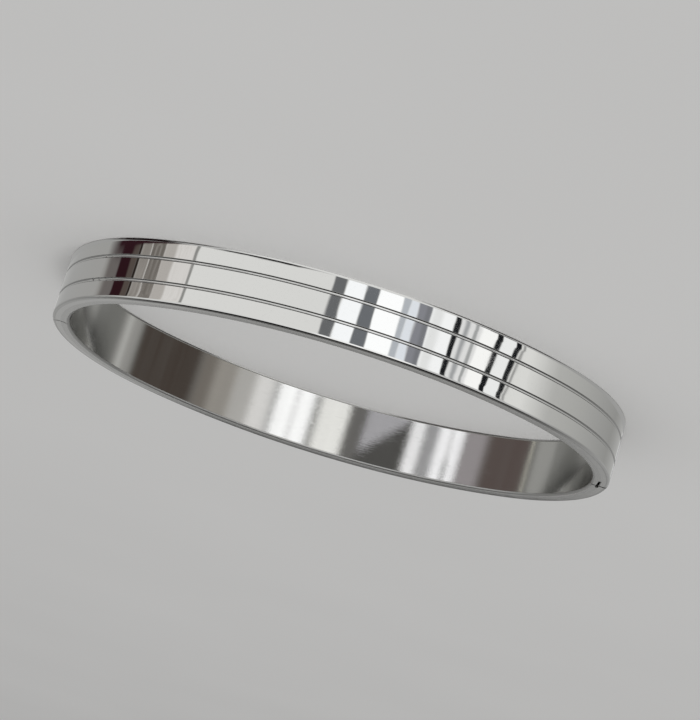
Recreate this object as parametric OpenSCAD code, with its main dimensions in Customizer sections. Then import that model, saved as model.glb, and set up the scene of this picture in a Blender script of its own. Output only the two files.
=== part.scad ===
// Oval kada bangle of polished steel: two half ovals on a hidden hinge pin, closed by a
// spring tongue. It lies on one rim. X is the long way of the oval, Y the short way, Z the
// height of the band. The hinge is at +X and the clasp at -X.

/* [Oval] */
// Inner length of the oval, hinge to clasp
inner_long = 61; // [56:1:68]
// Inner width of the oval, front to back
inner_short = 49; // [45:1:54]

/* [Band] */
// Thickness of the wall
wall = 2; // [2:0.1:2.6]
// Height of the band, rim to rim
band_h = 7; // [6.5:0.5:9]
// Radius that polishing has left on the four long edges
edge_r = 0.3; // [0.1:0.05:0.4]

/* [Grooves] */
// Distance between the two engraved grooves, centre to centre
groove_apart = 2.7; // [2.6:0.1:3.2]
// Width of a groove at the outer face
groove_w = 0.42; // [0.3:0.02:0.5]
// Depth of a groove
groove_depth = 0.16; // [0.1:0.01:0.2]

/* [Hinge] */
// Diameter of the hinge pin
pin_d = 0.8; // [0.6:0.05:0.9]
// Room around the pin in the turning knuckle
pin_play = 0.05; // [0.03:0.01:0.08]
// Room around the pin in the two outer knuckles that hold it
pin_seat_play = 0.03; // [0.02:0.01:0.05]
// Metal left over the pin's blind end, under the upper rim
pin_cover = 0.7; // [0.5:0.1:1]
// Gap between knuckles that turn past each other
knuckle_gap = 0.1; // [0.08:0.01:0.14]
// Angle to which the halves are cut free to open
open_angle = 50; // [30:5:60]

/* [Clasp] */
// Gap between the two butting ends
seam_gap = 0.06; // [0.04:0.01:0.1]
// Bevel on the edges of the butting ends
seam_bevel = 0.2; // [0.1:0.02:0.24]
// Thickness of the tongue
tongue_t = 0.45; // [0.35:0.05:0.5]
// Width of the tongue, along the height of the band
tongue_w = 2.2; // [1.8:0.1:2.2]
// Reach of the tongue past the seam, into the front half
tongue_reach = 2.6; // [2:0.1:2.8]
// Length of the tongue that is held in the back half
tongue_held = 2.4; // [2:0.1:2.6]
// Room around the tongue in its pocket
pocket_play = 0.15; // [0.12:0.01:0.16]
// Room around the tongue where it is held
tongue_seat_play = 0.03; // [0.02:0.01:0.05]
// Width of the release slot in the upper rim
slot_w = 0.36; // [0.3:0.02:0.4]
// Distance of the release slot from the inner face
slot_in = 0.85; // [0.7:0.05:1]
// Length of the release slot on the front half's side of the seam
slot_front = 2.2; // [1.6:0.1:2.4]
// Length of the release slot on the back half's side of the seam
slot_back = 1; // [0.6:0.1:1.2]

/* [Hidden] */
$fn = 96;

// How far cutting shapes run past the faces they cut
past = 1;

// Four-arc oval on 3-4-5 triangles: the end arcs' centres lie at (+-3k, 0) and the side arcs'
// at (0, +-4k), so that the arcs meet at whole numbers and their inner radii differ by 5k
oval_k = (inner_long - inner_short) / 4;
end_x = 3 * oval_k;
side_y = 4 * oval_k;
end_r = inner_long / 2 - end_x;
side_r = end_r + 5 * oval_k;
arc_join = atan2(4, 3);

// A groove is the part of a small circle that dips below the outer face
groove_r = (groove_w ^ 2 / 4 + groove_depth ^ 2) / (2 * groove_depth);
groove_z = [(band_h - groove_apart) / 2, (band_h + groove_apart) / 2];

// The knuckles are divided at the grooves
mid_wall = inner_long / 2 + wall / 2;
knuckle_r = wall / 2;
relief_r = knuckle_r + knuckle_gap;
relief_angle = open_angle + 2;
pin_bottom = 0.1;
pin_top = band_h - pin_cover;
pin_end_room = 0.1;

// Cross-section of the band: X runs from the inner face to the outer face, Y is the height
module band_section() {
    difference() {
        union() {
            translate([edge_r, 0]) square([wall - 2 * edge_r, band_h]);
            translate([0, edge_r]) square([wall, band_h - 2 * edge_r]);
            for (x = [edge_r, wall - edge_r], z = [edge_r, band_h - edge_r])
                translate([x, z]) circle(r = edge_r);
        }
        for (z = groove_z)
            translate([wall + groove_r - groove_depth, z]) circle(r = groove_r);
    }
}

// The band bent to an arc about the Z axis, from where the arcs meet and past the quarter's end
module band_arc(inner_r, turn) {
    rotate([0, 0, arc_join])
        rotate_extrude(angle = turn) translate([inner_r, 0]) band_section();
}

// The quarter of the oval where X and Y are above zero: an end arc and a side arc
module quarter_oval() {
    overrun = 5;
    intersection() {
        union() {
            translate([end_x, 0, 0]) band_arc(end_r, -arc_join - overrun);
            translate([0, -side_y, 0]) band_arc(side_r, 90 - arc_join + overrun);
        }
        translate([0, 0, -past]) cube([inner_long, inner_long, band_h + 2 * past]);
    }
}

// The half of the oval where Y is above zero
module half_oval() {
    quarter_oval();
    mirror([1, 0, 0]) quarter_oval();
}

// Everything between two heights, at the hinge
module hinge_layer(z_low, z_high) {
    translate([mid_wall - 2 * wall, -2 * wall, z_low]) cube([4 * wall, 4 * wall, z_high - z_low]);
}

// The middle layer between the grooves, grown or shrunk by a margin
module middle_layer(margin) {
    hinge_layer(groove_z[0] - margin, groove_z[1] + margin);
}

// The two layers outside the grooves, grown or shrunk by a margin
module outer_layers(margin) {
    hinge_layer(-past, groove_z[0] + margin);
    hinge_layer(groove_z[1] - margin, band_h + past);
}

// The band's outer half turned about the pin: the round end of every knuckle
module knuckle_round() {
    translate([mid_wall, 0, 0])
        rotate_extrude()
            intersection() {
                translate([-wall / 2, 0]) band_section();
                square([wall, band_h]);
            }
}

// Room for the other half's knuckle to turn in, and for its outer face as it swings open
module knuckle_relief() {
    translate([mid_wall, 0, -past]) {
        cylinder(r = relief_r, h = band_h + 2 * past);
        rotate([0, 0, -relief_angle]) cube([relief_r, 2 * wall, band_h + 2 * past]);
    }
}

module pin_hole(play) {
    translate([mid_wall, 0, -past])
        cylinder(d = pin_d + 2 * play, h = pin_top + pin_end_room + past);
}

// A square bar on its edge, which bevels a corner that lies along its middle
module bevel_bar(length) {
    side = seam_bevel * sqrt(2);
    rotate([0, 0, 45]) translate([-side / 2, -side / 2, 0]) cube([side, side, length]);
}

// What the seam takes from both butting ends: the gap and the bevels along its edges
module seam() {
    reach = wall / 2 + past;
    translate([-mid_wall - reach, -seam_gap / 2, -past])
        cube([2 * reach, seam_gap, band_h + 2 * past]);
    for (side = [-1, 1])
        translate([-mid_wall + side * wall / 2, 0, -past]) bevel_bar(band_h + 2 * past);
    for (z = [0, band_h])
        translate([-mid_wall - reach, 0, z]) rotate([0, 90, 0]) bevel_bar(2 * reach);
}

// The tongue's outline with room around it, from one Y to another
module tongue_room(play, y_low, y_high) {
    translate([-mid_wall - tongue_t / 2 - play, y_low, (band_h - tongue_w) / 2 - play])
        cube([tongue_t + 2 * play, y_high - y_low, tongue_w + 2 * play]);
}

// Slot with round ends, from the tongue's room up through the rim
module release_slot() {
    slot_x = -inner_long / 2 - slot_in;
    slot_r = slot_w / 2;
    bottom = (band_h + tongue_w) / 2;
    height = band_h - bottom + past;
    translate([slot_x, 0, bottom]) {
        translate([-slot_r, -slot_front + slot_r, 0])
            cube([slot_w, slot_front + slot_back - slot_w, height]);
        translate([0, -slot_front + slot_r, 0]) cylinder(r = slot_r, h = height);
        translate([0, slot_back - slot_r, 0]) cylinder(r = slot_r, h = height);
    }
}

module front_half() {
    color("silver")
        difference() {
            union() {
                difference() {
                    mirror([0, 1, 0]) half_oval();
                    intersection() {
                        knuckle_relief();
                        outer_layers(knuckle_gap / 2);
                    }
                }
                intersection() {
                    knuckle_round();
                    middle_layer(-knuckle_gap / 2);
                }
            }
            pin_hole(pin_play);
            seam();
            tongue_room(pocket_play, -tongue_reach - pocket_play, past);
            release_slot();
        }
}

module back_half() {
    color("silver")
        difference() {
            union() {
                difference() {
                    half_oval();
                    intersection() {
                        mirror([0, 1, 0]) knuckle_relief();
                        middle_layer(knuckle_gap / 2);
                    }
                }
                intersection() {
                    knuckle_round();
                    outer_layers(-knuckle_gap / 2);
                }
            }
            pin_hole(pin_seat_play);
            seam();
            tongue_room(tongue_seat_play, -past, tongue_held + tongue_seat_play);
            release_slot();
        }
}

module hinge_pin() {
    color("gray")
        translate([mid_wall, 0, pin_bottom]) cylinder(d = pin_d, h = pin_top - pin_bottom);
}

// Flat tongue with a round nose
module clasp_tongue() {
    nose_r = tongue_t / 2;
    color("lightgray") {
        tongue_room(0, -tongue_reach + nose_r, tongue_held);
        translate([-mid_wall, -tongue_reach + nose_r, (band_h - tongue_w) / 2])
            cylinder(r = nose_r, h = tongue_w);
    }
}

front_half();
back_half();
hinge_pin();
clasp_tongue();
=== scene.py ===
import math

import bmesh
import bpy
from mathutils import Matrix, Vector

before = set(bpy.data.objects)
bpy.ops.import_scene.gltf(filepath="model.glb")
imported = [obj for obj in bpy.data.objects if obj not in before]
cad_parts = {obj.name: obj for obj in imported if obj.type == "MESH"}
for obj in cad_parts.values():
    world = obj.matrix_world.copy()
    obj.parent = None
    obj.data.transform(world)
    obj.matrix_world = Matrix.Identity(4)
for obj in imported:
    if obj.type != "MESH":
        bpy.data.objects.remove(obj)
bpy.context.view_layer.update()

MM = 0.001
MICRON = MM * MM

# The oval as part.scad has it, in millimetres. The wall runs from the outer face, depth 0, to
# the inner face, depth 2.
SIDE_CENTRE = 12.0
END_CENTRE = 9.0
SIDE_RADIUS = 38.5
END_RADIUS = 23.5
WALL = 2.0
BAND_HEIGHT = 7.0
EDGE_RADIUS = 0.3
GROOVE_HEIGHTS = (2.15, 4.85)
GROOVE_HALF_WIDTH = 0.21
GROOVE_RADIUS = 0.218
GROOVE_REACH = 0.3
HINGE_FROM = 29.0
KNUCKLE_HALF_LENGTH = 1.5
SEAM_HALF_LENGTH = 0.6

# Round the oval, an angle times this radius is about the length along the band
MEAN_RADIUS = 28.0

# Polishing rounds the outer face off toward its rims: over this width, and by this much tilt
# for each square millimetre
CROWN_WIDTH = 1.1
CROWN = 0.03

# A face belongs to the rolled band if it looks nearly straight in or out, or nearly up or down,
# or lies on a rounded edge, so far from the middle of the wall
UPRIGHT_AGREEMENT = 0.965
FLAT_FACING = 0.9
EDGE_FROM_MIDDLE = 0.68


class Wire:
    """A node's output. Arithmetic on it adds Math nodes to the same tree."""

    def __init__(self, bench, socket):
        self.bench = bench
        self.socket = socket

    def out(self, name):
        """Another output of the same node, by its name or number."""
        return Wire(self.bench, self.socket.node.outputs[name])

    def __add__(self, other):
        return self.bench.calc("ADD", self, other)

    def __sub__(self, other):
        return self.bench.calc("SUBTRACT", self, other)

    def __rsub__(self, other):
        return self.bench.calc("SUBTRACT", other, self)

    def __mul__(self, other):
        return self.bench.calc("MULTIPLY", self, other)

    def __truediv__(self, other):
        return self.bench.calc("DIVIDE", self, other)

    def __gt__(self, other):
        return self.bench.calc("GREATER_THAN", self, other)

    def __abs__(self):
        return self.bench.calc("ABSOLUTE", self)

    __radd__ = __add__
    __rmul__ = __mul__

    def least(self, other):
        return self.bench.calc("MINIMUM", self, other)

    def most(self, other):
        return self.bench.calc("MAXIMUM", self, other)

    def sign(self):
        return self.bench.calc("SIGN", self)

    def root(self):
        return self.bench.calc("SQRT", self)

    def length_with(self, other):
        return (self * self + other * other).root()

    def rises(self, edge, soft):
        """From 0 to 1 across an edge, smoothly."""
        settings = {"interpolation_type": "SMOOTHSTEP"}
        ends = {"Value": self, "From Min": edge - soft, "From Max": edge + soft}
        return self.bench.node("ShaderNodeMapRange", settings, ends)

    def between(self, low, high, soft):
        """1 from low to high and 0 outside, with soft ends."""
        return self.rises(low, soft) - self.rises(high, soft)


class Bench:
    """A node tree under construction."""

    def __init__(self, tree):
        self.tree = tree
        tree.nodes.clear()

    def node(self, kind, settings=None, inputs=None):
        """One node: its settings first, then values or links for its sockets."""
        made = self.tree.nodes.new(kind)
        for name, value in (settings or {}).items():
            if name == "stops":
                self.set_stops(made.color_ramp, value)
            else:
                setattr(made, name, value)
        for name, value in (inputs or {}).items():
            if isinstance(value, Wire):
                self.tree.links.new(value.socket, made.inputs[name])
            else:
                made.inputs[name].default_value = value
        return Wire(self, made.outputs[0]) if made.outputs else None

    @staticmethod
    def set_stops(ramp, stops):
        while len(ramp.elements) < len(stops):
            ramp.elements.new(1.0)
        for element, (place, tone) in zip(ramp.elements, stops):
            element.position = place
            element.color = rgba(tone)

    def calc(self, operation, *values):
        return self.node("ShaderNodeMath", {"operation": operation}, dict(enumerate(values)))

    def mix(self, share, first, second):
        """Colour mix: sockets 6 and 7 are the node's colour inputs, output 2 its colour."""
        inputs = {0: share, 6: rgba(first), 7: rgba(second)}
        return self.node("ShaderNodeMix", {"data_type": "RGBA"}, inputs).out(2)

    def mix_vectors(self, share, first, second):
        """Vector mix: sockets 4 and 5 are the node's vector inputs, output 1 its vector."""
        inputs = {0: share, 4: first, 5: second}
        return self.node("ShaderNodeMix", {"data_type": "VECTOR"}, inputs).out(1)

    def parts(self, vector):
        x = self.node("ShaderNodeSeparateXYZ", None, {"Vector": vector})
        return x, x.out("Y"), x.out("Z")

    def vector(self, x, y, z):
        return self.node("ShaderNodeCombineXYZ", None, {"X": x, "Y": y, "Z": z})

    def noise(self, place, scale, detail, roughness):
        inputs = {"Vector": place, "Scale": scale, "Detail": detail, "Roughness": roughness}
        return self.node("ShaderNodeTexNoise", None, inputs)


def rgba(tone):
    """A tone with its alpha. A wire stays as it is."""
    return tone if isinstance(tone, Wire) else (*tone, 1.0)


def new_finish(name):
    material = bpy.data.materials.new(name)
    material.use_nodes = True
    return material, Bench(material.node_tree)


def finish_output(bench, inputs):
    surface = bench.node("ShaderNodeBsdfPrincipled", None, inputs)
    bench.node("ShaderNodeOutputMaterial", None, {"Surface": surface})


def metal_output(bench, tone, roughness, height, facing=None):
    """Bare metal, with its surface's height in thousandths of a millimetre."""
    relief = {"Strength": 1.0, "Distance": MICRON, "Height": height}
    if facing is not None:
        relief["Normal"] = facing
    finish_output(bench, {
        "Base Color": tone,
        "Metallic": 1.0,
        "Roughness": roughness,
        "Normal": bench.node("ShaderNodeBump", None, relief),
    })


def millimetres(bench):
    """The place on the piece and the way its surface faces, both in the piece's own frame."""
    coordinates = bench.node("ShaderNodeTexCoord")
    settings = {"operation": "SCALE"}
    inputs = {0: coordinates.out("Object"), "Scale": 1.0 / MM}
    place = bench.node("ShaderNodeVectorMath", settings, inputs)
    return place, coordinates.out("Normal")


def lie_in_band(x, y):
    """Depth under the outer face of the oval, in millimetres, and the way straight out of it."""
    on_side_arc = (abs(y) + SIDE_CENTRE) * END_CENTRE > abs(x) * SIDE_CENTRE
    from_x = x - (1 - on_side_arc) * x.sign() * END_CENTRE
    from_y = y + on_side_arc * y.sign() * SIDE_CENTRE
    reach = from_x.length_with(from_y)
    depth = on_side_arc * (SIDE_RADIUS - END_RADIUS) + END_RADIUS - reach
    return depth, from_x / reach, from_y / reach


def true_facing(bench, place, facing, depth, out_x, out_y):
    """The facing of the rolled band, worked out from its arcs, grooves and rounded edges, so
    that reflections run on unbroken. Cut faces and knuckles keep the facing they have."""
    x, y, z = bench.parts(place)
    inward = depth > WALL / 2
    over_edge = (z - (BAND_HEIGHT - EDGE_RADIUS)).most(0.0) - (EDGE_RADIUS - z).most(0.0)
    in_grooves = 0.0
    groove_zone = 0.0
    for height in GROOVE_HEIGHTS:
        across = z - height
        zone = (1 - (abs(across) > GROOVE_HALF_WIDTH)) * (1 - (depth > GROOVE_REACH))
        groove_zone = groove_zone + zone
        in_grooves = in_grooves + across * zone

    near_top = (z - (BAND_HEIGHT - CROWN_WIDTH)).most(0.0)
    near_foot = (CROWN_WIDTH - z).most(0.0)
    crown = (near_top * near_top - near_foot * near_foot) * CROWN * (1 - inward)
    up = over_edge * (1 / EDGE_RADIUS) - in_grooves * (1 / GROOVE_RADIUS) + crown
    up = up.least(1.0).most(-1.0)
    level = (1 - up * up).root() * (1 - inward * 2)
    worked_out = bench.vector(out_x * level, out_y * level, up)

    face_x, face_y, face_z = bench.parts(facing)
    agreement = face_x * out_x + face_y * out_y
    level_part = (1 - face_z * face_z).most(0.0).root()
    upright = abs(agreement) > level_part * UPRIGHT_AGREEMENT
    flat = abs(face_z) > FLAT_FACING
    edge_zone = (abs(over_edge) > 0.0) * (abs(depth - WALL / 2) > EDGE_FROM_MIDDLE)
    edge_zone = edge_zone * (abs(y) > SEAM_HALF_LENGTH)
    knuckle = (x > HINGE_FROM) * (1 - (abs(y) > KNUCKLE_HALF_LENGTH))
    rolled = upright.most(flat).most(groove_zone).most(edge_zone) * (1 - knuckle)
    chosen = bench.mix_vectors(rolled, facing, worked_out)
    settings = {"vector_type": "NORMAL", "convert_from": "OBJECT", "convert_to": "WORLD"}
    return bench.node("ShaderNodeVectorTransform", settings, {"Vector": chosen})


# Regions of the polished steel, in millimetres or as the upward part of the facing: an edge, or
# a start and an end, and then its softness
AT_ENDS = (24.0, 5.0)
INNER_FACE_DEPTH = (WALL - 0.3, 0.1)
CUT_FACE_DEPTH = (0.4, WALL - 0.4, 0.05)
GROOVED_DEPTH = (0.24, 0.03)
BORDER_DEPTH = (0.42, 0.05)
BORDER_HEIGHT = 0.12
GROOVE_MOUTH = (GROOVE_HALF_WIDTH - 0.01, 0.02)
GROOVE_WALLS = (0.08, 0.03)
RIM_FACING = (0.982, 0.012)
INNER_EDGE_FACING = (0.15, 0.98, 0.08)

# Patterns in the polished steel: scale, detail, roughness of the noise
HAIRLINES = (9.0, 3.0, 0.7)
RIM_LINES = (7.0, 3.0, 0.7)
RIPPLE = (0.2, 1.0, 0.4)
ORANGE_PEEL = (0.7, 1.0, 0.5)
SMUDGE = (0.22, 4.0, 0.6)
SPECKS = (5.0, 2.0, 0.6)
SCRATCHES = (1.0, 2.0, 0.5)

# Where a pattern starts to show, and how softly
SMUDGE_FROM = (0.58, 0.16)
SPECKS_FROM = (0.62, 0.12)
SCRATCHES_FROM = (0.71, 0.03)

# The lines run long, because a millimetre along the band counts only this much in their pattern
HAIRLINE_DRAW = 0.03
RIM_LINE_DRAW = 0.2

# The roughness of the mirror, and what each region and pattern adds to it
MIRROR_ROUGHNESS = 0.02
SMUDGE_ROUGHNESS = 0.028
GROOVE_ROUGHNESS = 0.25
SCRATCH_ROUGHNESS = 0.02
INNER_ROUGHNESS = 0.015
HAIRLINE_ROUGHNESS = 0.04
INNER_EDGE_ROUGHNESS = 0.3
INNER_END_ROUGHNESS = 0.1
RIM_ROUGHNESS = 0.12
RIM_LINE_ROUGHNESS = 0.12
CUT_ROUGHNESS = 0.3

# How high each pattern stands, in thousandths of a millimetre
RIPPLE_HEIGHT = 3.5
PEEL_HEIGHT = 4.0
HAIRLINE_HEIGHT = 2.0
OUTER_LINE_HEIGHT = 0.03
SCRATCH_HEIGHT = 0.02
RIM_LINE_HEIGHT = 1.2

BRIGHT_STEEL = (0.815, 0.815, 0.805)
WORN_STEEL = (0.765, 0.765, 0.755)
SATIN_STEEL = (0.72, 0.715, 0.70)
SAWN_STEEL = (0.36, 0.355, 0.34)
# Painted shade: near black for the dark lines along the inner edges and the outer top edge
PAINTED_EDGE_SHADE = (0.10, 0.098, 0.094)
# Painted shade: near black on the groove walls
PAINTED_GROOVE_SHADE = (0.05, 0.048, 0.046)


def polished_steel():
    """Mirror outside, satin rims and inner face, with two engraved grooves, and painted shade on
    the groove walls and in dark lines along the edges.
    """
    material, bench = new_finish("polished_steel_finish")
    place, facing = millimetres(bench)
    x, y, z = bench.parts(place)
    depth, out_x, out_y = lie_in_band(x, y)
    up = abs(bench.parts(facing)[2])

    at_ends = abs(x).rises(*AT_ENDS)
    inner_face = depth.rises(*INNER_FACE_DEPTH)
    rim = up.rises(*RIM_FACING)
    inner_edge = inner_face.most(depth > WALL / 2) * up.between(*INNER_EDGE_FACING)
    cut_face = depth.between(*CUT_FACE_DEPTH) * (1 - rim)
    from_groove = abs(z - GROOVE_HEIGHTS[0]).least(abs(z - GROOVE_HEIGHTS[1]))
    groove = (1 - from_groove.rises(*GROOVE_MOUTH)) * (1 - depth.rises(*GROOVED_DEPTH))
    groove_side = from_groove.rises(*GROOVE_WALLS) * groove
    upper_half = z > BAND_HEIGHT / 2
    border = (z > BAND_HEIGHT - BORDER_HEIGHT) * (1 - depth.rises(*BORDER_DEPTH))

    # The strips between the grooves were polished one by one, so each has its own ripple
    along = bench.calc("ARCTAN2", y, x) * MEAN_RADIUS
    strip = (z > GROOVE_HEIGHTS[0]) + (z > GROOVE_HEIGHTS[1])
    hairlines = bench.vector(along * HAIRLINE_DRAW, depth, z)
    hairlines = bench.noise(hairlines, *HAIRLINES) - 0.5
    rim_lines = bench.vector(along * RIM_LINE_DRAW, depth * 1.5, z * 0.2)
    rim_lines = bench.noise(rim_lines, *RIM_LINES) - 0.5
    ripple = bench.noise(bench.vector(x, y, z * 0.5 + strip * 4.0), *RIPPLE)
    orange_peel = bench.noise(bench.vector(x, y, z * 0.4 + strip * 3.0), *ORANGE_PEEL)
    smudge = bench.noise(place, *SMUDGE).rises(*SMUDGE_FROM)
    specks = bench.noise(place, *SPECKS).rises(*SPECKS_FROM)
    slanting = bench.vector(along * 0.23 + z * 0.09, z * 6.2 - along * 2.3, depth)
    scratches = bench.noise(slanting, *SCRATCHES).rises(*SCRATCHES_FROM) * (1 - inner_face)

    roughness = MIRROR_ROUGHNESS + smudge * SMUDGE_ROUGHNESS
    roughness = roughness + groove_side * GROOVE_ROUGHNESS + scratches * SCRATCH_ROUGHNESS
    roughness = roughness + inner_face * (INNER_ROUGHNESS + hairlines * HAIRLINE_ROUGHNESS)
    roughness = roughness + inner_edge * INNER_EDGE_ROUGHNESS
    roughness = roughness + rim * (RIM_ROUGHNESS + rim_lines * RIM_LINE_ROUGHNESS)
    roughness = roughness + cut_face * CUT_ROUGHNESS
    roughness = roughness + inner_face * at_ends * INNER_END_ROUGHNESS

    satin_share = inner_face.most(rim) * (0.55 + hairlines * 0.5)
    # Painted shade on the groove walls, weaker toward the ends
    groove_shade_share = groove_side * (0.85 - at_ends * 0.45)
    # Painted shade as dark lines along the inner edges, on the upper half and at the ends, and
    # along the outer top edge, weaker toward the ends
    inner_edge_shade = inner_edge * upper_half.most(at_ends) * 0.4
    top_edge_shade = border * (0.95 - at_ends * 0.7)
    tone = bench.mix(specks * 0.5, BRIGHT_STEEL, WORN_STEEL)
    tone = bench.mix(satin_share, tone, SATIN_STEEL)
    tone = bench.mix(groove_shade_share, tone, PAINTED_GROOVE_SHADE)
    tone = bench.mix(cut_face * 0.6, tone, SAWN_STEEL)
    tone = bench.mix(inner_edge_shade.most(top_edge_shade), tone, PAINTED_EDGE_SHADE)

    height = ripple * (1 - inner_face * 0.5) * RIPPLE_HEIGHT
    height = height + orange_peel * (1 - inner_face) * PEEL_HEIGHT
    height = height + hairlines * (inner_face * HAIRLINE_HEIGHT + OUTER_LINE_HEIGHT)
    height = height - scratches * SCRATCH_HEIGHT
    height = height + rim_lines * rim * RIM_LINE_HEIGHT
    shape = true_facing(bench, place, facing, depth, out_x, out_y)
    metal_output(bench, tone, roughness, height, shape)
    return material


def drawn_wire():
    """The hinge pin: wire with drawing lines along it and a cropped end."""
    clean = (0.70, 0.69, 0.67)
    grey = (0.56, 0.55, 0.53)
    drawn_out = 0.06
    drawing_lines = (14.0, 3.0, 0.65)
    end_facing = (0.8, 0.1)

    material, bench = new_finish("drawn_wire_finish")
    place, facing = millimetres(bench)
    x, y, z = bench.parts(place)
    lines = bench.noise(bench.vector(x, y, z * drawn_out), *drawing_lines)
    end = abs(bench.parts(facing)[2]).rises(*end_facing)
    tone = bench.mix(lines.rises(0.55, 0.2), clean, grey)
    roughness = 0.2 + (lines - 0.5) * 0.15 + end * 0.15
    metal_output(bench, tone, roughness, (lines - 0.5) * 1.5)
    return material


def rolled_strip():
    """The clasp tongue: spring strip with rolling lines along it and a rubbed nose."""
    grey = (0.60, 0.585, 0.55)
    straw = (0.66, 0.62, 0.54)
    bare = (0.76, 0.755, 0.74)
    rolled_out = 0.05
    rolling_lines = (12.0, 3.0, 0.7)
    tinted_patches = (0.9, 2.0, 0.5)
    nose_from = (-1.9, 0.5)

    material, bench = new_finish("rolled_strip_finish")
    place, _ = millimetres(bench)
    x, y, z = bench.parts(place)
    lines = bench.noise(bench.vector(x * 0.5, y * rolled_out, z), *rolling_lines)
    rubbed = 1 - y.rises(*nose_from)
    heat_tint = bench.noise(place, *tinted_patches).rises(0.5, 0.2)
    tone = bench.mix(heat_tint, grey, straw)
    tone = bench.mix(rubbed * 0.8, tone, bare)
    roughness = 0.3 + (lines - 0.5) * 0.2 - rubbed * 0.1
    metal_output(bench, tone, roughness, (lines - 0.5) * 1.8)
    return material


# Polished steel shows whatever stands round it, so the studio is a set of cards. They are seen
# only in the steel: the floor and its light are plain. Angles are in degrees: `turn` goes round
# the bangle from the front toward the hinge, and `lift` up from level.

# Cards round the bangle: from, to, tone, softness of the edges. A later card covers an earlier.
ROOM_CARDS = (
    (168.0, 181.0, (0.62, 0.62, 0.61), 0.8),
    (172.0, 174.2, (0.10, 0.10, 0.10), 0.4),
    (-181.0, -169.0, (0.62, 0.62, 0.61), 0.8),
    (-177.0, -173.5, (0.24, 0.25, 0.27), 0.5),
    (58.0, 100.0, (0.78, 0.76, 0.74), 1.0),
    (94.5, 104.4, (0.16, 0.145, 0.14), 2.4),
    (83.0, 95.8, (0.027, 0.009, 0.012), 1.1),
    (83.0, 87.3, (0.098, 0.078, 0.068), 0.8),
    (81.1, 83.1, (0.024, 0.018, 0.014), 0.5),
    (76.9, 81.1, (0.27, 0.25, 0.23), 0.4),
    (71.3, 76.6, (0.165, 0.15, 0.135), 0.3),
    (66.7, 71.3, (0.49, 0.465, 0.44), 0.6),
    (58.2, 59.5, (0.30, 0.30, 0.29), 0.4),
    (9.7, 58.2, (0.80, 0.80, 0.785), 0.4),
    (5.7, 9.7, (0.158, 0.162, 0.168), 0.5),
    (-1.2, 5.4, (1.12, 1.14, 1.16), 0.4),
    (-5.7, -1.2, (0.17, 0.18, 0.195), 0.5),
    (-14.3, -5.8, (1.2, 1.21, 1.22), 0.3),
    (-16.6, -14.3, (0.52, 0.55, 0.59), 0.5),
    (-19.6, -16.6, (0.86, 0.9, 0.96), 0.5),
    (-24.4, -19.6, (0.27, 0.275, 0.305), 0.6),
    (-23.9, -22.4, (0.215, 0.22, 0.24), 0.7),
    (-32.6, -24.4, (1.08, 1.09, 1.10), 0.5),
    (-28.2, -24.8, (0.90, 0.91, 0.91), 1.0),
    (-34.6, -32.6, (0.014, 0.015, 0.017), 0.35),
    (-43.5, -34.6, (0.86, 0.86, 0.86), 0.4),
    (-37.7, -36.0, (0.42, 0.43, 0.44), 0.7),
    (-40.8, -39.6, (0.42, 0.43, 0.43), 0.4),
    (-47.7, -42.0, (1.12, 1.12, 1.11), 0.6),
    (-49.9, -47.7, (0.012, 0.013, 0.015), 0.25),
    (-54.8, -49.9, (0.99, 1.0, 1.0), 0.25),
    (-56.8, -54.8, (0.012, 0.013, 0.015), 0.25),
    (-58.5, -57.5, (0.36, 0.36, 0.355), 0.35),
)

# The walls behind the cards, the tent above them and the ground before them, all the way round
# from the back, at 0, through the front to the back, at 1: place, tone
ROOM_WALLS = (
    (0.00, (0.50, 0.50, 0.49)),
    (0.06, (0.44, 0.44, 0.43)),
    (0.12, (0.32, 0.32, 0.31)),
    (0.18, (0.38, 0.38, 0.37)),
    (0.24, (0.45, 0.45, 0.435)),
    (0.29, (0.50, 0.50, 0.485)),
    (0.325, (0.82, 0.82, 0.80)),
    (0.75, (0.82, 0.82, 0.80)),
    (0.78, (0.22, 0.21, 0.195)),
    (0.80, (0.385, 0.38, 0.37)),
    (0.90, (0.39, 0.39, 0.385)),
    (1.00, (0.50, 0.50, 0.49)),
)
TENT = (
    (0.000, (0.40, 0.40, 0.395)),
    (0.120, (0.40, 0.40, 0.395)),
    (0.200, (0.27, 0.27, 0.265)),
    (0.270, (0.36, 0.36, 0.355)),
    (0.320, (0.55, 0.55, 0.545)),
    (0.425, (0.62, 0.62, 0.615)),
    (0.440, (1.05, 1.05, 1.04)),
    (0.526, (1.05, 1.05, 1.04)),
    (0.535, (0.82, 0.82, 0.81)),
    (0.700, (0.72, 0.72, 0.71)),
    (0.765, (0.38, 0.38, 0.37)),
    (0.830, (0.27, 0.27, 0.265)),
    (0.900, (0.36, 0.36, 0.355)),
    (1.000, (0.40, 0.40, 0.395)),
)
GROUND = (
    (0.000, (0.38, 0.38, 0.37)),
    (0.290, (0.38, 0.38, 0.37)),
    (0.340, (0.012, 0.012, 0.013)),
    (0.425, (0.012, 0.012, 0.013)),
    (0.440, (0.60, 0.60, 0.59)),
    (0.528, (0.60, 0.60, 0.59)),
    (0.570, (0.012, 0.012, 0.013)),
    (0.660, (0.012, 0.012, 0.013)),
    (0.680, (0.030, 0.010, 0.014)),
    (0.775, (0.030, 0.010, 0.014)),
    (0.800, (0.38, 0.38, 0.37)),
    (1.000, (0.38, 0.38, 0.37)),
)

# The cards' edges lean about this lift, up to so many degrees above and below it. They lean
# only before the one turn and past the other, and the farther from it the more
LEAN_LIFT = -15.8
LEAN_REACH = 0.75
LEAN_BEFORE = (-29.0, 0.07)
LEAN_PAST = (60.0, 0.038)

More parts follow.
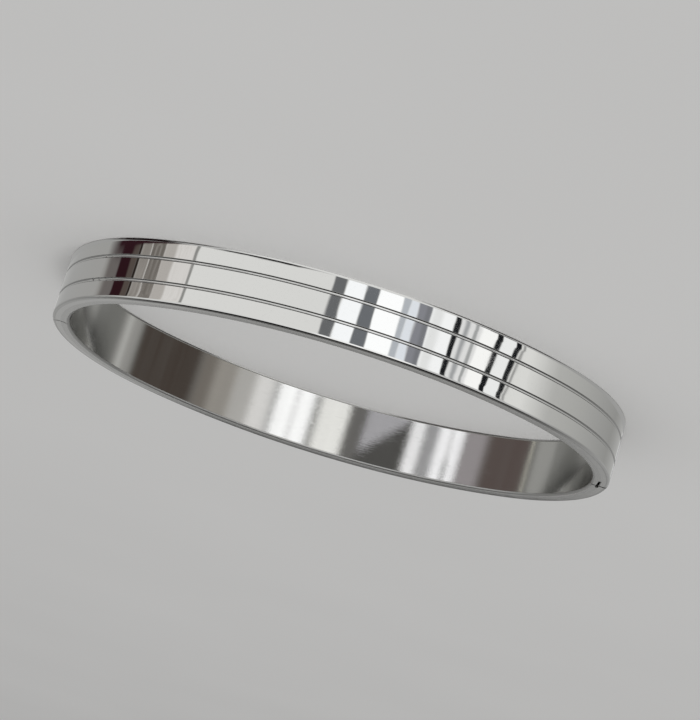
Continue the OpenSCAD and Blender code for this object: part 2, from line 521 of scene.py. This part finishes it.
# Streaks in the panes toward the hinge, and a pale margin below the tent
PANE_STREAK = (0.52, 0.49, 0.46)
STREAKED_TURN = (60.0, 81.0, 0.8)
STREAKS = (1.0, 3.0, 0.65)
STREAKS_FROM = (0.54, 0.14)
STREAKS_SHARE = 0.3
MARGIN = (0.80, 0.80, 0.80)
MARGIN_LIFT = (-12.9, -11.0, 0.3)
MARGIN_TURN = (-63.0, 62.0, 1.0)
MARGIN_SHARE = 0.85

# The ceiling: dark above the tent and light at the top. Both edges are level over the front,
# and past a half width the dark part's edge climbs and the light's falls, degree for degree
DARK_CEILING = (0.015, 0.015, 0.016)
DARK_LIFT = 50.0
DARK_MIDDLE = 7.0
DARK_HALF_WIDTH = 85.0
DARK_CLIMB = 0.2
TOP_LIGHT = (0.48, 0.48, 0.475)
TOP_LIFT = 84.0
TOP_HALF_WIDTH = 90.0
TOP_FALL = 0.17
CEILING_SOFTNESS = 3.0
BACK_CARD = (0.03, 0.03, 0.029)
BACK_CARD_TURN = (175.0, 1.5)
BACK_CARD_LIFT = (4.0, 14.0, 0.6)
TENT_FROM = (-4.0, 3.0)

# The ground's edge: its lift before the bangle, how it climbs toward the hinge, and the two
# stretches where it stands higher
EDGE_LIFT = -19.4
EDGE_CLIMB_FROM = 50.0
EDGE_CLIMB_WIDTH = 40.0
EDGE_CLIMB = 0.095
HIGHER_FROM = (18.0, 9.0)
HIGHER_TO = (54.0, 6.0)
HIGHER_BY = 1.3
CLASP_SIDE_TURN = (-57.0, -45.0, 1.0)
CLASP_SIDE_BY = 0.9
EDGE_SOFTNESS = 0.3
PALE_GROUND = (0.46, 0.46, 0.455)
PALE_GROUND_SHARE = 0.72
PALE_GROUND_BELOW = (-26.5, 1.5)

# The even light from all round on whatever doesn't mirror the studio
DOME_TONE = (0.46, 0.46, 0.46)


def lay_cards(bench, turn, backing, cards):
    """The cards, one over the other, on their backing."""
    tone = backing
    for start, end, card_tone, soft in cards:
        tone = bench.mix(turn.between(start, end, soft), tone, card_tone)
    return tone


def degrees_round(bench, x, y):
    return bench.calc("ARCTAN2", x, y * -1.0) * math.degrees(1.0)


def round_the_bangle(bench, turn, stops):
    return bench.node("ShaderNodeValToRGB", {"stops": stops}, {"Fac": turn * (1 / 360) + 0.5})


def room_paint(bench, turn, lift):
    """Walls and cards, as the outer face shows them."""
    lean = (lift - LEAN_LIFT).most(-LEAN_REACH).least(LEAN_REACH)
    before = (turn - LEAN_BEFORE[0]).least(0.0) * LEAN_BEFORE[1]
    past = (turn - LEAN_PAST[0]).most(0.0) * LEAN_PAST[1]
    slide = lean * (before + past)
    walls = round_the_bangle(bench, turn, ROOM_WALLS)
    room = lay_cards(bench, turn + slide, walls, ROOM_CARDS)

    streaks = bench.noise(bench.vector(turn * 1.1, lift * 0.45, 0.0), *STREAKS)
    streaked = turn.between(*STREAKED_TURN) * streaks.rises(*STREAKS_FROM) * STREAKS_SHARE
    room = bench.mix(streaked, room, PANE_STREAK)
    margin = lift.between(*MARGIN_LIFT) * turn.between(*MARGIN_TURN)
    return bench.mix(margin * MARGIN_SHARE, room, MARGIN)


def ceiling_paint(bench, turn, lift):
    tent = round_the_bangle(bench, turn, TENT)
    dark_from = (abs(turn - DARK_MIDDLE) - DARK_HALF_WIDTH).most(0.0) * DARK_CLIMB + DARK_LIFT
    dark_part = (lift - dark_from).rises(0.0, CEILING_SOFTNESS)
    ceiling = bench.mix(dark_part, tent, DARK_CEILING)
    top_from = TOP_LIFT - (abs(turn) - TOP_HALF_WIDTH).most(0.0) * TOP_FALL
    ceiling = bench.mix((lift - top_from).rises(0.0, CEILING_SOFTNESS), ceiling, TOP_LIGHT)
    straight_back = abs(turn).rises(*BACK_CARD_TURN) * lift.between(*BACK_CARD_LIFT)
    return bench.mix(straight_back, ceiling, BACK_CARD)


def ground_paint(bench, turn, lift, room):
    """The room with the ground before it."""
    climb = (turn - EDGE_CLIMB_FROM).most(0.0).least(EDGE_CLIMB_WIDTH) * EDGE_CLIMB
    edge = climb + EDGE_LIFT
    edge = edge + turn.rises(*HIGHER_FROM) * (1 - turn.rises(*HIGHER_TO)) * HIGHER_BY
    edge = edge + turn.between(*CLASP_SIDE_TURN) * CLASP_SIDE_BY
    pale = bench.mix(PALE_GROUND_SHARE, room, PALE_GROUND)
    ground = round_the_bangle(bench, turn, GROUND)
    ground = bench.mix(lift.rises(*PALE_GROUND_BELOW), pale, ground)
    return bench.mix(1 - (lift - edge).rises(0.0, EDGE_SOFTNESS), room, ground)


def studio_world():
    world = bpy.data.worlds.new("studio")
    world.use_nodes = True
    bench = Bench(world.node_tree)
    x, y, z = bench.parts(bench.node("ShaderNodeTexCoord"))
    turn = degrees_round(bench, x, y)
    lift = bench.calc("ARCSINE", z) * math.degrees(1.0)
    room = ground_paint(bench, turn, lift, room_paint(bench, turn, lift))
    seen_in_steel = bench.mix(lift.rises(*TENT_FROM), room, ceiling_paint(bench, turn, lift))

    in_steel = bench.node("ShaderNodeLightPath").out("Is Glossy Ray")
    tone = bench.mix(in_steel, DOME_TONE, seen_in_steel)
    background = bench.node("ShaderNodeBackground", None, {"Color": tone, "Strength": 1.0})
    bench.node("ShaderNodeOutputWorld", None, {"Surface": background})
    bpy.context.scene.world = world


def glowing(name, paint):
    """A card's material: it only shines, in the tones that paint makes."""
    material, bench = new_finish(name)
    finish_output(bench, {
        "Base Color": rgba((0.0, 0.0, 0.0)),
        "Specular IOR Level": 0.0,
        "Roughness": 1.0,
        "Emission Color": paint(bench),
        "Emission Strength": 1.0,
    })
    return material


QUARTER_STEPS = 48


def oval_ring(radius_change, height):
    """Points round the oval, in metres, at a distance outside its outer face and a height."""
    points = []
    for step in range(4 * QUARTER_STEPS):
        angle = math.tau * step / (4 * QUARTER_STEPS)
        across = math.cos(angle)
        forward = math.sin(angle)
        on_side_arc = abs(forward) * END_CENTRE > abs(across) * SIDE_CENTRE
        radius = (SIDE_RADIUS if on_side_arc else END_RADIUS) + radius_change
        centre_x = 0.0 if on_side_arc else math.copysign(END_CENTRE, across)
        centre_y = -math.copysign(SIDE_CENTRE, forward) if on_side_arc else 0.0
        place = (centre_x + radius * across, centre_y + radius * forward, height)
        points.append(Vector(place) * MM)
    return points


def band_between(name, first, second, cap=False):
    """A mesh strip from one ring of points to another, and a cap over the second."""
    mesh = bpy.data.meshes.new(name)
    build = bmesh.new()
    lower = [build.verts.new(p) for p in first]
    upper = [build.verts.new(p) for p in second]
    for i in range(len(lower)):
        j = (i + 1) % len(lower)
        build.faces.new((lower[i], lower[j], upper[j], upper[i]))
    if cap:
        build.faces.new(upper)
    build.to_mesh(mesh)
    build.free()
    made = bpy.data.objects.new(name, mesh)
    bpy.context.scene.collection.objects.link(made)
    return made


def show_only_in_steel(card):
    card.visible_camera = False
    card.visible_diffuse = False
    card.visible_shadow = False
    card.visible_transmission = False
    card.visible_volume_scatter = False


# Cards in the well under the bangle, which its inner face shows, as the cards round the bangle
WELL_CARDS = (
    (-141.0, -110.0, (0.36, 0.355, 0.34), 6.0),
    (-134.0, -124.0, (0.54, 0.54, 0.52), 4.0),
    (-106.0, -59.5, (0.062, 0.048, 0.040), 4.0),
    (-59.0, -50.0, (0.20, 0.18, 0.16), 3.0),
    (-52.0, -38.0, (0.36, 0.34, 0.31), 2.5),
    (-42.0, -23.0, (0.54, 0.53, 0.51), 1.8),
    (-32.6, -24.0, (0.88, 0.87, 0.86), 2.2),
    (-24.6, -22.4, (0.64, 0.64, 0.64), 0.8),
    (-21.8, -5.5, (1.35, 1.36, 1.37), 0.9),
    (-14.2, -12.4, (0.92, 0.92, 0.93), 0.8),
    (-5.4, -2.4, (0.44, 0.44, 0.43), 0.8),
    (-2.4, 10.6, (1.10, 1.10, 1.07), 1.1),
    (10.6, 17.0, (0.16, 0.155, 0.15), 1.8),
    (17.0, 37.5, (0.082, 0.080, 0.077), 1.0),
    (38.4, 44.6, (1.15, 1.15, 1.17), 0.9),
    (44.6, 50.8, (0.40, 0.40, 0.41), 0.8),
    (51.0, 63.4, (1.22, 1.22, 1.25), 0.9),
    (56.2, 57.8, (0.70, 0.70, 0.71), 0.6),
    (63.4, 75.0, (0.36, 0.335, 0.345), 2.6),
    (75.0, 110.0, (0.105, 0.080, 0.074), 4.0),
    (112.5, 115.2, (0.60, 0.58, 0.50), 0.6),
    (122.0, 157.0, (0.37, 0.37, 0.355), 4.0),
    (157.0, 176.0, (0.23, 0.23, 0.22), 5.0),
)
WELL_TONE = (0.19, 0.19, 0.18)
WELL_SHADE = (0.03, 0.03, 0.028)
WELL_STREAKS = (1.0, 3.0, 0.6)
WELL_STREAKS_FROM = (0.5, 0.3)
WELL_STREAKS_SHARE = 0.22

# A pane cut off on the slant: its turn, and the edge that moves with the height
SLANTED_PANE = (0.48, 0.475, 0.50)
SLANTED_TURN = (18.0, 37.0, 0.9)
SLANT_EDGE = (33.6, 0.8)
SLANT_HEIGHT = -11.0
SLANT = 2.9

# A dark split in the upper part of the last light bar
BAR_SPLIT = (0.22, 0.22, 0.22)
SPLIT_TURN = (56.4, 58.2, 0.5)
SPLIT_HEIGHT = (-8.6, 1.6)
SPLIT_SHARE = 0.9

# The well darkens toward its mouth, and more so at the back
MOUTH_HEIGHT = (-1.8, 1.8)
MOUTH_SHADE = 0.7
BACK_TURN = (152.0, 12.0)
BACK_HEIGHT = (-5.0, 2.0)
BACK_SHADE = 0.35
LEAST_LIT = 0.14


def well_paint(bench):
    place, _ = millimetres(bench)
    x, y, z = bench.parts(place)
    turn = degrees_round(bench, x, y)
    cards = lay_cards(bench, turn, WELL_TONE, WELL_CARDS)
    slant = 1 - (turn + (z - SLANT_HEIGHT) * SLANT).rises(*SLANT_EDGE)
    cards = bench.mix(turn.between(*SLANTED_TURN) * slant, cards, SLANTED_PANE)
    split = turn.between(*SPLIT_TURN) * z.rises(*SPLIT_HEIGHT)
    cards = bench.mix(split * SPLIT_SHARE, cards, BAR_SPLIT)
    streaks = bench.noise(bench.vector(turn * 0.5, z * 0.03, 0.0), *WELL_STREAKS)
    streaked = streaks.rises(*WELL_STREAKS_FROM) * WELL_STREAKS_SHARE
    cards = bench.mix(streaked, cards, WELL_TONE)
    lit = 1 - z.rises(*MOUTH_HEIGHT) * MOUTH_SHADE
    lit = lit - abs(turn).rises(*BACK_TURN) * z.rises(*BACK_HEIGHT) * BACK_SHADE
    return bench.mix(lit.most(LEAST_LIT), WELL_SHADE, cards)


# The dark shade at the foot of the band, in millimetres along the oval's long way and under its
# outer face: stretches where it lies close under the wall, stretches where it lies farther out,
# and the hinge end, where it lies all across
CLOSE_BY_HINGE = (15.5, 25.0, 2.0)
CLOSE_BY_CLASP = (-23.0, -7.5, 2.5)
CLOSE_DEPTH = (-0.03, 0.05)
CLOSE_SHARE = 0.9
FARTHER_START = (5.0, 3.0)
FARTHER_END = (15.5, 1.0)
FARTHER_BY_CLASP = (-18.0, -13.5, 0.8)
FARTHER_BY_CLASP_SHARE = 0.8
FARTHER_DEPTH = (-0.45, 0.08)
HINGE_END = (20.0, 27.0, 1.5)
HINGE_END_DEPTH = (-1.2, WALL / 2, 0.1)
CONTACT_BLACK = (0.012, 0.006, 0.007)

# The pale footing beside the shade: lightest at the middle, and greyer toward the ends
FOOTING_MIDDLE = (-13.0, 14.0, 5.0)
FOOTING_ENDS = (23.0, 3.0)
FOOTING_LIGHT = (0.80, 0.80, 0.79)
FOOTING_TONE = (0.50, 0.50, 0.495)
FOOTING_AT_ENDS = (0.38, 0.38, 0.375)


def contact_paint(bench):
    place, _ = millimetres(bench)
    x, y, _ = bench.parts(place)
    depth, _, _ = lie_in_band(x, y)
    near = x.between(*CLOSE_BY_HINGE) + x.between(*CLOSE_BY_CLASP)
    close = depth.rises(*CLOSE_DEPTH) * near * CLOSE_SHARE
    farther = x.rises(*FARTHER_START) - x.rises(*FARTHER_END)
    farther = farther + x.between(*FARTHER_BY_CLASP) * FARTHER_BY_CLASP_SHARE
    dark_part = close.most(farther * (1 - depth.rises(*FARTHER_DEPTH)))
    dark_part = dark_part.most(x.between(*HINGE_END) * depth.between(*HINGE_END_DEPTH))
    pale = bench.mix(x.between(*FOOTING_MIDDLE), FOOTING_TONE, FOOTING_LIGHT)
    pale = bench.mix(abs(x).rises(*FOOTING_ENDS), pale, FOOTING_AT_ENDS)
    return bench.mix(dark_part, pale, CONTACT_BLACK)


WELL_MOUTH = -0.01
WELL_FOOT = -18.0
CONTACT_HEIGHT = -0.25
CONTACT_REACH = 1.35


def studio_cards():
    rim_line = oval_ring(-WALL, WELL_MOUTH)
    well_foot = oval_ring(-WALL, WELL_FOOT)
    well = band_between("inner_well", rim_line, well_foot, cap=True)
    well.data.materials.append(glowing("well_cards", well_paint))
    show_only_in_steel(well)

    inner_line = oval_ring(-WALL, CONTACT_HEIGHT)
    outer_line = oval_ring(CONTACT_REACH, CONTACT_HEIGHT)
    footing = band_between("contact_shade", inner_line, outer_line)
    footing.data.materials.append(glowing("contact_cards", contact_paint))
    show_only_in_steel(footing)


FLOOR_SIZE = 6.0
FLOOR_TONE = (0.745, 0.741, 0.732)
FLOOR_DARKER = 0.965
FLOOR_LIGHTER = 1.035
FLOOR_MOTTLE = (0.012, 2.0, 0.5)


def pale_floor():
    bpy.ops.mesh.primitive_plane_add(size=FLOOR_SIZE, location=(0.0, 0.0, 0.0))
    floor = bpy.context.object
    floor.name = "floor"
    floor.visible_glossy = False
    material, bench = new_finish("pale_floor")
    place, _ = millimetres(bench)
    mottle = bench.noise(place, *FLOOR_MOTTLE)
    darker = tuple(FLOOR_DARKER * part for part in FLOOR_TONE)
    lighter = tuple(FLOOR_LIGHTER * part for part in FLOOR_TONE)
    tone = bench.mix(mottle, darker, lighter)
    finish_output(bench, {"Base Color": tone, "Roughness": 0.9, "Specular IOR Level": 0.0})
    floor.data.materials.append(material)


def soft_light(name, place, target, size, watts):
    data = bpy.data.lights.new(name, "AREA")
    data.shape = "SQUARE"
    data.size = size
    data.energy = watts
    light = bpy.data.objects.new(name, data)
    light.location = place
    light.rotation_mode = "QUATERNION"
    light.rotation_quaternion = (Vector(target) - Vector(place)).to_track_quat("-Z", "Y")
    light.visible_glossy = False
    bpy.context.scene.collection.objects.link(light)


# The camera as fitted to the photo. It is rolled nearly half a turn, so that the upper rim,
# with the release slot, shows below the outer face, as it does there
PHOTO_WIDTH = 700
PHOTO_HEIGHT = 720
FOCAL_PIXELS = 2500.0
SENSOR_WIDTH = 36.0
CAMERA_PLACE = (-0.00712, -0.27205, 0.07392)
CAMERA_RIGHT = (-0.95688, -0.05382, -0.28544)
CAMERA_DOWN = (-0.28959, 0.25299, 0.92311)


def photo_camera():
    data = bpy.data.cameras.new("camera")
    data.sensor_width = SENSOR_WIDTH
    data.lens = SENSOR_WIDTH * FOCAL_PIXELS / max(PHOTO_WIDTH, PHOTO_HEIGHT)
    data.clip_start = 0.01
    data.clip_end = 20.0
    camera = bpy.data.objects.new("camera", data)
    right = Vector(CAMERA_RIGHT).normalized()
    back = right.cross(-Vector(CAMERA_DOWN)).normalized()
    above = back.cross(right)
    turn = Matrix((right, above, back)).transposed()
    camera.matrix_world = Matrix.Translation(CAMERA_PLACE) @ turn.to_4x4()
    bpy.context.scene.collection.objects.link(camera)
    bpy.context.scene.camera = camera


photo_camera()
pale_floor()
studio_world()
studio_cards()
soft_light("key_light", place=(-0.2, -0.9, 1.3), target=(0.0, 0.0, 0.0), size=0.8, watts=7.2)

steel = polished_steel()
wire = drawn_wire()
spring = rolled_strip()
for node, finish in (
    ("front_half", steel),
    ("back_half", steel),
    ("hinge_pin", wire),
    ("clasp_tongue", spring),
):
    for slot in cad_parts[node].material_slots:
        slot.material = finish

bpy.context.scene.view_settings.view_transform = "Standard"
